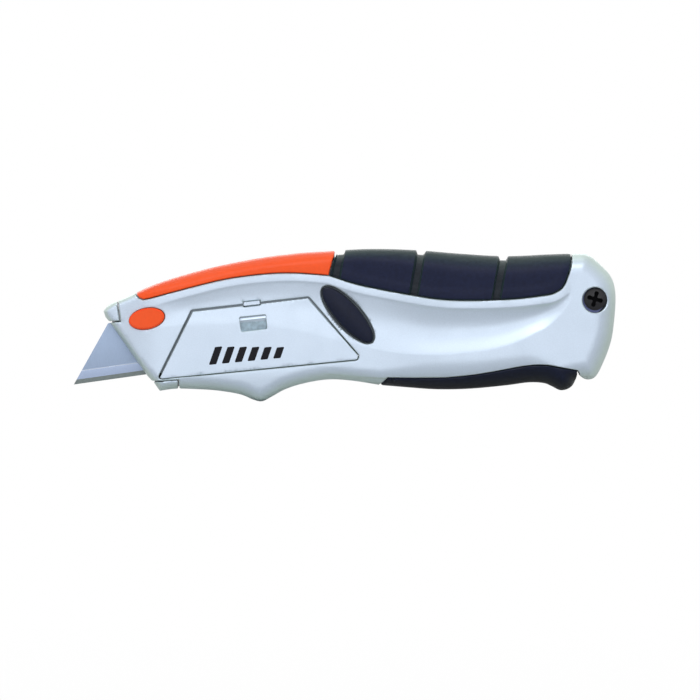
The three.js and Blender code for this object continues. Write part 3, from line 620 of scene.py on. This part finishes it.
# Near black with almost no gloss: painted shade on the floor of the screw's recess.
RECESS_SHADE = material("screw_recess_painted_shade", (0.002, 0.002, 0.003), 0.6, grain=0.1, bump=0.3, spec=0.05)
SPRING = material("spring_steel", (0.45, 0.46, 0.48), 0.32, 1.0, grain=0.1, bump=0.3)
ZINC = material("zinc_plate", (0.42, 0.44, 0.47), 0.42, 0.9, grain=0.15, bump=0.4, stretch=(1, 1, 6))
GREY = material("grey_plastic", (0.15, 0.16, 0.18), 0.6, grain=0.1, bump=0.3)
CATCH = material("catch_grey", (0.46, 0.61, 0.72), 0.45, 0.3, grain=0.35, grain_scale=700, bump=0.6,
                 wear=0.12)
BLADE = material("blade_steel", (0.33, 0.42, 0.58), 0.36, 0.55, grain=0.07, bump=0.3, stretch=(8, 1, 1),
                 grain_scale=700)
HONED = material("blade_honed", (0.40, 0.49, 0.68), 0.30, 0.55, grain=0.06, bump=0.3, stretch=(9, 1, 1),
                 grain_scale=700)
GROUND = material("blade_ground", (0.22, 0.26, 0.26), 0.36, 0.7, grain=0.25, bump=0.6, stretch=(1, 1, 9),
                  grain_scale=900)
MARK = material("printed_mark", (0.006, 0.006, 0.010), 0.5, grain=0.05, bump=0.1, spec=0.15)
RING = material("screw_ring", (0.06, 0.075, 0.17), 0.3, 0.6, grain=0.1, bump=0.3)

# ---- housing, trim, pads ----
RELEASE_POCKET = ellipse(dict(RELEASE, x=RELEASE["x"] + 0.1, z=RELEASE["z"] + 0.12), GAP - 0.02)
LOCK_POCKET = ellipse(LOCK, GAP)
COMMON = [grow(p, GAP) for p in (TRIM, PAD, LEVER, straight(CAP), straight(CORNER))]
NOTCH = straight([(57.0, 31.6), (62.8, 32.3), (62.7, 33.9), (56.9, 33.3)])
DOOR_ROUND = rounded(DOOR_PANEL, 0.6)
ridge = (-0.4, -0.1, 0.2, 0.5)
rim_lines = [(LOWER_TRIM, [RIM + o for o in ridge] + [-RIM - o for o in ridge]),
             (CREST_LINE, (-0.8, -0.3, 0, 0.3, 0.8)),
             (SLIT_LINE, (-0.4, -0.26, -0.13, 0, 0.13, 0.26, 0.4))]
DOORWAY = [grow(rounded(DOOR, 0.7), GAP), NOTCH]
LEFT_CUTS = COMMON + DOORWAY + [RELEASE_POCKET, LOCK_POCKET, circle(SCREW, 4.3)]
left = Skin([SILHOUETTE], LEFT_CUTS, fillet=0.32, thick=SHELL, lines=rim_lines)
right = Skin([SILHOUETTE], COMMON, fillet=0.32, thick=SHELL, lines=rim_lines).flipped()
trim = Skin([SILHOUETTE, TRIM], [], fillet=0.45, thick=COVER, wrap=True)
LEAN = 0.175
GROOVES = [(88.8, 46), (115.2, 42.4), (143.1, 42.2)]
GROOVE_LINES = [straight([(x - 14 * LEAN, z - 14), (x + 14 * LEAN, z + 14)], 0.5, closed=False)
                for x, z in GROOVES]


def to_grooves(q):
    return np.min([to_line(q, g) for g in GROOVE_LINES], axis=0)


def pad_bump(q):
    """The pad's surface stands a little proud and dips in at the grooves."""
    return 0.05 - 1.45 * step((1.65 - to_grooves(q)) / 0.6)


beside = [s * o for s in (1, -1) for o in (0, 0.6, 1.0, 1.2, 1.35, 1.5, 1.7)]
pad = Skin([SILHOUETTE, PAD], [], fillet=0.7, thick=COVER, wrap=True, bump=pad_bump,
           lines=[(g, beside) for g in GROOVE_LINES])
for i in np.where(to_grooves(pad.flat[pad.tris].mean(1)) < 1.02)[0]:
    pad.kind[i] = pad.kind[i + len(pad.kind) // 2] = 2
lever = Skin([SILHOUETTE, LEVER], [], fillet=0.45, thick=COVER, wrap=True)
cap = Skin([SILHOUETTE, grow(straight(CAP), -0.12)], [], fillet=0.5, thick=THIN_COVER, wrap=True)
corner = Skin([SILHOUETTE, grow(straight(CORNER), -0.08)], [], fillet=0.4, thick=THIN_COVER, wrap=True)
door = Skin([DOOR_ROUND], [rounded(CATCH_WINDOW, 0.5), NOTCH], fillet=0.25, thick=THIN_COVER,
            seam=DOOR_BACK)


def dome(e, face, rise):
    """Height of a domed button face over its ellipse."""
    c, s = math.cos(e["tilt"]), math.sin(e["tilt"])

    def height(q):
        u, v = q[:, 0] - e["x"], q[:, 1] - e["z"]
        r = np.sqrt(((u * c + v * s) / e["a"]) ** 2 + ((-u * s + v * c) / e["b"]) ** 2)
        return face + rise * (1 - np.clip(r, 0, 1) ** 2)
    return height


BUTTON = dict(RELEASE, x=RELEASE["x"] - 0.12, z=RELEASE["z"] - 0.14)
release = Skin([ellipse(BUTTON, -0.1)], [], fillet=0.45, thick=THIN_COVER, spacing=0.5,
               base=dome(BUTTON, 8.3, 0.55))
lock = Skin([ellipse(LOCK, -0.05)], [], fillet=0.8, thick=1.4, spacing=0.6, base=dome(LOCK, 8.9, 0.7))


def stand_in(name, node, parts, materials, body):
    """A fine piece shown in place of the CAD node, riding on a body."""
    o = make(name, parts, materials)
    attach(o, body)
    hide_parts(node)
    return o


for name, node, skin in (("left_shell", "left_housing", left), ("right_shell", "right_housing", right)):
    stand_in(name, node, [skin_part(skin), cad_part(node)], [SILVER, GAP_SHADE, INNER], "housing")
stand_in("trim_cover", "top_trim", [skin_part(trim)], [ORANGE, GAP_SHADE], "housing")
stand_in("grip_overmould", "grip_pad", [skin_part(pad)], [RUBBER, RUBBER, GROOVE], "housing")
lever.verts[:, 0] = np.minimum(lever.verts[:, 0], LEVER_END)
lever_inside = cad_part("squeeze_lever")
lever_inside[0][:, 0] = np.minimum(lever_inside[0][:, 0], (LEVER_END + SHIFT_X) / 1000)
stand_in("lever_cover", "squeeze_lever", [skin_part(lever), lever_inside], [BLACK], "lever")
stand_in("chute_shell", "nose_chute", [skin_part(cap), skin_part(corner), cad_part("nose_chute")],
         [SILVER, GAP_SHADE, ZINC], "chute")
stand_in("door_panel", "magazine_door", [skin_part(door), cad_behind("magazine_door", DOOR_LINER, 2)],
         [SILVER, INNER, INNER], "door")
stand_in("release_cap", "release_button", [skin_part(release), cad_part("release_button", False)],
         [ORANGE], "release")
stand_in("lock_cap", "lock_button", [skin_part(lock)], [BLACK], "lock")


def plate(outline, y_of, cuts=(), lines=()):
    """A flat piece in the side view, with its two faces at y_of(points): the plan's points and triangles, and
    the piece's points and faces."""
    points, edges = outline_edges([outline, *cuts])
    for line in lines:
        edges += [(len(points) + i, len(points) + i + 1) for i in range(len(line) - 1)]
        points += [tuple(q) for q in line]
    V, F = triangulate(points, edges)
    F = counter_clockwise(V, F[in_region(V[F].mean(1), [outline], cuts)])
    near, far = y_of(V)
    n = len(V)
    pairs = {(t[k], t[(k + 1) % 3]) for t in F for k in range(3)}
    faces = two_sided(F, n) + [(b, a, a + n, b + n) for a, b in pairs if (b, a) not in pairs]
    return V, F, np.vstack([np.c_[V[:, 0], near, V[:, 1]], np.c_[V[:, 0], far, V[:, 1]]]), faces


def plate_part(made, kind=0, kinds=None):
    """A plate as a part, of one kind, or with kinds for its plan's triangles and kind 0 for its edge."""
    _, F, verts, faces = made
    if kinds is None:
        return place(verts), faces, [kind] * len(faces)
    return place(verts), faces, list(kinds) * 2 + [0] * (len(faces) - 2 * len(F))


def level(q, y):
    return np.full(len(q), y)


# ---- blade: ground edge, honed land above it, a painted highlight line along the land's top, flat body ----
TILT = math.radians(8)
BLADE_L, BLADE_H, BLADE_END, TIP = 61, 18.8, 14.3, (0, 5.6)
BEVEL_TOP, LAND_TOP, LINE_TOP = 1.5, 4.15, 4.4
BAND_HEIGHTS, BAND_DEPTHS = (0, BEVEL_TOP, LAND_TOP, LINE_TOP), (0.02, 0.21, 0.27, 0.3)
# A thin pale band at the top of the honed land: a painted highlight along the blade's shoulder.
SHOULDER_GLINT = material("blade_shoulder_painted_highlight", (0.62, 0.70, 0.84), 0.25, 0.4, grain=0.05, bump=0.2)


def on_blade(u, v):
    """The point u along the blade's edge and v up from it."""
    return (TIP[0] + u * math.cos(TILT) - v * math.sin(TILT),
            TIP[1] + u * math.sin(TILT) + v * math.cos(TILT))


def above_edge(q):
    return -(q[:, 0] - TIP[0]) * math.sin(TILT) + (q[:, 1] - TIP[1]) * math.cos(TILT)


def half_blade(q):
    return np.interp(above_edge(q), BAND_HEIGHTS, BAND_DEPTHS)


def blade_outline():
    line = [(0, 0), (BLADE_L, 0), (BLADE_L - BLADE_END, BLADE_H)]
    for u in (BLADE_L / 2 + 4.8, BLADE_L / 2 - 4.8):  # the two notches in the back
        line += [(u + 1.6, BLADE_H), (u + 1.6, BLADE_H - 2.6), (u - 1.6, BLADE_H - 2.6), (u - 1.6, BLADE_H)]
    return [on_blade(u, v) for u, v in line + [(BLADE_END, BLADE_H)]]


def band_line(v):
    """The line across the blade at height v, just inside its slanted ends."""
    cut = v * BLADE_END / BLADE_H + 1e-4
    return [on_blade(cut, v), on_blade(BLADE_L - cut, v)]


blade = plate(blade_outline(), lambda q: (-half_blade(q), half_blade(q)),
              lines=[band_line(v) for v in (BEVEL_TOP, LAND_TOP, LINE_TOP)])
height = above_edge(blade[0][blade[1]].mean(1))
kinds = [1 if h < BEVEL_TOP else 2 if h < LAND_TOP else 3 if h < LINE_TOP else 0 for h in height]
stand_in("blade_ground", "blade", [plate_part(blade, kinds=kinds)], [BLADE, GROUND, HONED, SHOULDER_GLINT],
         "carrier")

# ---- tail screw: black head with a four-lobed recess, its floor painted near black as shade, in a ring ----
HALF_LOBE = [(1.0, 0.7), (1.25, 0.5), (2.2, 0.36), (2.6, 0.2), (2.7, 0)]  # radius and angle
LOBE = [(r, -angle) for r, angle in HALF_LOBE] + HALF_LOBE[-2::-1]
HEAD = (SCREW[0] - 0.05, SCREW[1] + 0.38)
RECESS_TURN = -math.pi / 4 * 0.35
recess = np.array([(HEAD[0] + r * math.cos(k * math.pi / 2 + angle + RECESS_TURN),
                    HEAD[1] + r * math.sin(k * math.pi / 2 + angle + RECESS_TURN))
                   for k in range(4) for r, angle in LOBE])


def head_top(q):
    return -8.5 + 0.035 * ((q[:, 0] - HEAD[0]) ** 2 + (q[:, 1] - HEAD[1]) ** 2)


head = plate(circle(HEAD, 3.75), lambda q: (head_top(q), level(q, -6.8)), cuts=[recess],
             lines=[circle(HEAD, 3.2, 36)])
socket = plate(grow(recess, 0.02), lambda q: (level(q, -7.1), level(q, -6.6)))
ring = plate(circle(SCREW, 4.22), lambda q: (level(q, -7.0), level(q, -6.7)), cuts=[circle(HEAD, 3.7)])
stand_in("screw_head", "tail_screw",
         [plate_part(head), plate_part(socket, 2), cad_behind("tail_screw", 6.6, 0), plate_part(ring, 1)],
         [DARK, RING, RECESS_SHADE], "housing")

# ---- hinge rod, its front end kept under the rounded nose edge ----
rod, rod_faces = cad_mesh("door_hinge_rod")
front_end = rod[:, 0] < rod[:, 0].min() + 0.002
rod[front_end] += np.array([math.cos(DOOR_LEAN), 0, math.sin(DOOR_LEAN)]) * 0.0034
rod[:, 1] += 0.0003
stand_in("hinge_rod", "door_hinge_rod", [(rod, rod_faces, [0] * len(rod_faces))], [SPRING],
         "housing")

# ---- catch: pale tab over the door's top edge and a floor with a sloped lip in the window ----
TAB = [(57.2, 32.0), (62.6, 32.6), (62.5, 33.75), (57.1, 33.15)]
LIP = [(55.9, 23.2), (65.1, 24.2), (64.7, 29.2), (55.5, 28.2)]
LIP_HEIGHTS, LIP_DEPTHS = (23, 24.2, 26.7, 27.7, 29), (-7.0, -7.1, -7.25, -7.85, -7.2)
BRIGHT_ABOVE = 26.75


def up_window(q):
    """Height in the window, whose sides lean."""
    return q[:, 1] - 0.108 * (q[:, 0] - 60.4)


def lip_faces(q):
    up = up_window(q)
    wave = 0.12 * np.sin(q[:, 0] * 2.1 + q[:, 1] * 3) * (up < 26.6)
    return np.interp(up, LIP_HEIGHTS, LIP_DEPTHS) + wave, level(q, -6.6)


tab = plate(rounded(TAB, 0.3), lambda q: (level(q, -8.3), level(q, -6.6)))
rows = [straight([(55.55 + k * 0.02, 26.1 + k * 0.1), (64.85, 27.15 + k * 0.1)], 0.5, closed=False)
        for k in (0, 3, 6, 9)]
sill = plate(straight(LIP, 0.7), lip_faces, lines=rows)
bright = up_window(sill[0][sill[1]].mean(1)) > BRIGHT_ABOVE
stand_in("catch_slide_piece", "door_catch",
         [plate_part(tab, 1), plate_part(sill, kinds=bright.astype(int)), cad_behind("door_catch", 6.9, 0)],
         [CATCH, SILVER], "catch")


def coil(node, body, axis, radius, wire, turns, hook=0.0):
    """A round-wire coil spring in place of the CAD one, with its own mesh, riding on a body."""
    a = np.array(axis, float)
    e1 = np.array([0, 1, 0] if abs(a[1]) < 0.5 else [1, 0, 0], float)
    e1 -= a * (e1 @ a)
    e1 /= np.linalg.norm(e1)
    e2 = np.cross(a, e1)
    co = cad_mesh(node)[0] * 1000 - (SHIFT_X, 0, SHIFT_Z)
    u = co @ a
    middle = sum(e * ((co @ e).min() + (co @ e).max()) / 2 for e in (e1, e2))
    start, end = u.min() + wire, u.max() - wire
    share = np.linspace(0, 1, round(turns * 20) + 1)
    along = start + hook + (end - start - 2 * hook) * share
    angle = 2 * math.pi * turns * share
    path = middle + along[:, None] * a + radius * (np.cos(angle)[:, None] * e1 + np.sin(angle)[:, None] * e2)
    if hook:  # straight ends that go on along the axis to their eyes
        path = np.vstack([middle + a * start, middle + a * (start + hook * 0.7), path,
                          middle + a * (end - hook * 0.7), middle + a * end])
    t = np.gradient(path, axis=0)
    t /= np.linalg.norm(t, axis=1)[:, None]
    flat = np.abs(t @ a) > 0.9
    across = np.where(flat[:, None], e1, a)
    across = across - t * (across * t).sum(1)[:, None]
    across /= np.linalg.norm(across, axis=1)[:, None]
    other = np.cross(t, across)
    ring = 2 * math.pi * np.arange(8) / 8
    v = (path[:, None] + wire * (np.cos(ring)[None, :, None] * across[:, None]
                                 + np.sin(ring)[None, :, None] * other[:, None])).reshape(-1, 3)
    f = [(i * 8 + k, i * 8 + (k + 1) % 8, i * 8 + 8 + (k + 1) % 8, i * 8 + 8 + k)
         for i in range(len(path) - 1) for k in range(8)]
    f += [tuple(range(8))[::-1], tuple(len(v) - 8 + k for k in range(8))]
    o = stand_in(node + "_coil", node, [(place(v), f, [0] * len(f))], [SPRING], body)
    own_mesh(o)


coil("release_spring", "housing", (0, 1, 0), 2.25, 0.22, 3.5)
coil("lock_spring", "housing", (0, 1, 0), 2.0, 0.22, 3.5)
coil("return_spring", "housing", (math.cos(TILT), 0, math.sin(TILT)), 1.25, 0.25, 14,
     hook=1.6)
coil("catch_spring", "door", (0, 0, 1), 0.7, 0.18, 4)

# ---- a plain printed mark in place of the maker's: slanted bars that follow the door's lower edge ----
SLOPE = math.tan(DOOR_LEAN)


def bar_outline(k):
    x = 45.5 + 4.3 * k
    z = 12.2 + (x - 45.5) * SLOPE
    wide, tall = 2.5, 6.0 - 0.45 * k
    over = 0.35 * tall
    return rounded([(x, z), (x + wide, z + wide * SLOPE), (x + wide + over, z + tall + wide * SLOPE),
                    (x + over, z + tall)], 0.35)


def bar_faces(q):
    depth = depth_at(q, to_silhouette(q))
    return -depth - 0.05, -depth + 0.3


mark = make("printed_bars", [plate_part(plate(bar_outline(k), bar_faces)) for k in range(6)], [MARK])
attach(mark, "door")

# ---- finishes of the CAD pieces that stay ----
FINISH = {"spring_steel": SPRING, "zinc_plate": ZINC, "grey_plastic": GREY, "catch_grey": CATCH,
          "blade_steel": BLADE, "dark_steel": DARK, "black_plastic": BLACK, "cast_silver": SILVER}
for sub in frame["record"]["subparts"]:
    o = frame["nodes"][sub["node"]]
    if not o.hide_render and sub["material_slot"] in FINISH:
        o.data.materials.clear()
        o.data.materials.append(FINISH[sub["material_slot"]])

# ---- studio ----
scene = bpy.context.scene
scene.view_settings.view_transform = "Standard"
def light_world():
    """White to the camera and in reflections and through clear surfaces, and a dimmer fill light."""
    world = bpy.data.worlds.new("studio")
    scene.world = world
    world.use_nodes = True
    tree = world.node_tree
    link = tree.links.new
    ray = shader(tree, "LightPath").outputs
    seen = shader(tree, "Math", operation="MAXIMUM")
    link(ray["Is Camera Ray"], seen.inputs[0])
    link(ray["Is Transmission Ray"], seen.inputs[1])
    white = shader(tree, "Math", operation="MAXIMUM")
    link(seen.outputs[0], white.inputs[0])
    link(ray["Is Glossy Ray"], white.inputs[1])
    strength = shader(tree, "MapRange", {"To Min": 0.41, "To Max": 1.0})
    link(white.outputs[0], strength.inputs["Value"])
    background = tree.nodes["Background"]
    background.inputs["Color"].default_value = (1, 1, 1, 1)
    link(strength.outputs["Result"], background.inputs["Strength"])


def lamp(name, where, size, power, target=(0, 0, 0.025)):
    data = bpy.data.lights.new(name, "AREA")
    data.shape = "RECTANGLE"
    data.size, data.size_y = size
    data.energy = power
    o = bpy.data.objects.new(name, data)
    scene.collection.objects.link(o)
    o.location = where
    o.rotation_euler = (Vector(target) - Vector(where)).to_track_quat("-Z", "Y").to_euler()
def floor_finish():
    """Near white to the camera, and clear where it is seen edge-on, so that a lever swung below it shows."""
    m = bpy.data.materials.new("floor_white")
    m.use_nodes = True
    tree = m.node_tree
    link = tree.links.new
    paint = tree.nodes["Principled BSDF"]
    paint.inputs["Base Color"].default_value = (0.8, 0.8, 0.8, 1)
    paint.inputs["Roughness"].default_value = 0.9
    paint.inputs["Specular IOR Level"].default_value = 0.0
    glow = shader(tree, "Emission", {"Strength": 1.25})
    camera_ray = shader(tree, "LightPath").outputs["Is Camera Ray"]
    share = shader(tree, "MapRange", {"To Max": 0.70})
    link(camera_ray, share.inputs["Value"])
    lit = shader(tree, "MixShader")
    link(share.outputs["Result"], lit.inputs["Fac"])
    link(paint.outputs[0], lit.inputs[1])
    link(glow.outputs[0], lit.inputs[2])
    edge_on = shader(tree, "MapRange", {"From Min": 0.93, "From Max": 0.965})
    link(shader(tree, "LayerWeight").outputs["Facing"], edge_on.inputs["Value"])
    clear_share = shader(tree, "Math", operation="MULTIPLY")
    link(edge_on.outputs["Result"], clear_share.inputs[0])
    link(camera_ray, clear_share.inputs[1])
    both = shader(tree, "MixShader")
    link(clear_share.outputs[0], both.inputs["Fac"])
    link(lit.outputs[0], both.inputs[1])
    link(shader(tree, "BsdfTransparent").outputs[0], both.inputs[2])
    link(both.outputs[0], tree.nodes["Material Output"].inputs["Surface"])
    return m


def lay_floor():
    side, z = 3, -0.0004
    mesh = bpy.data.meshes.new("floor")
    corners = [(-side, -side, z), (side, -side, z), (side, side, z), (-side, side, z)]
    mesh.from_pydata(corners, [], [(0, 1, 2, 3)])
    mesh.materials.append(floor_finish())
    floor = bpy.data.objects.new("floor", mesh)
    scene.collection.objects.link(floor)


light_world()
lamp("key", (-0.1, -0.75, 0.85), (0.8, 0.5), 5.0)
lamp("top", (-0.15, 0.1, 0.85), (0.8, 0.4), 0.9)
lamp("back", (0.0, 1.3, 0.5), (0.9, 0.5), 3.2)
lamp("front", (0.1, -1.6, 0.2), (0.9, 0.4), 2.7)
lay_floor()

# ---- camera, square on to the left side ----
PX_PER_MM, FRAME_PX = 2.98, 700  # scale and side of the picture
TIP_PX, GUARD_PX = 73.5, 401  # column of the blade tip and row of the finger guard in it
DISTANCE = 2.6
cam_data = bpy.data.cameras.new("camera")
cam_data.sensor_width = 36
cam_data.lens = 36 * (DISTANCE - 0.003) / (FRAME_PX / PX_PER_MM / 1000)
cam_data.clip_end = 20
cam = bpy.data.objects.new("camera", cam_data)
scene.collection.objects.link(cam)
middle_px = FRAME_PX / 2
cam.location = (((middle_px - TIP_PX) / PX_PER_MM + SHIFT_X) / 1000, -DISTANCE,
                (GUARD_PX - middle_px) / PX_PER_MM / 1000 + 0.0001)
cam.rotation_euler = (math.pi / 2, 0, 0)
scene.camera = cam

bpy.context.view_layer.update()
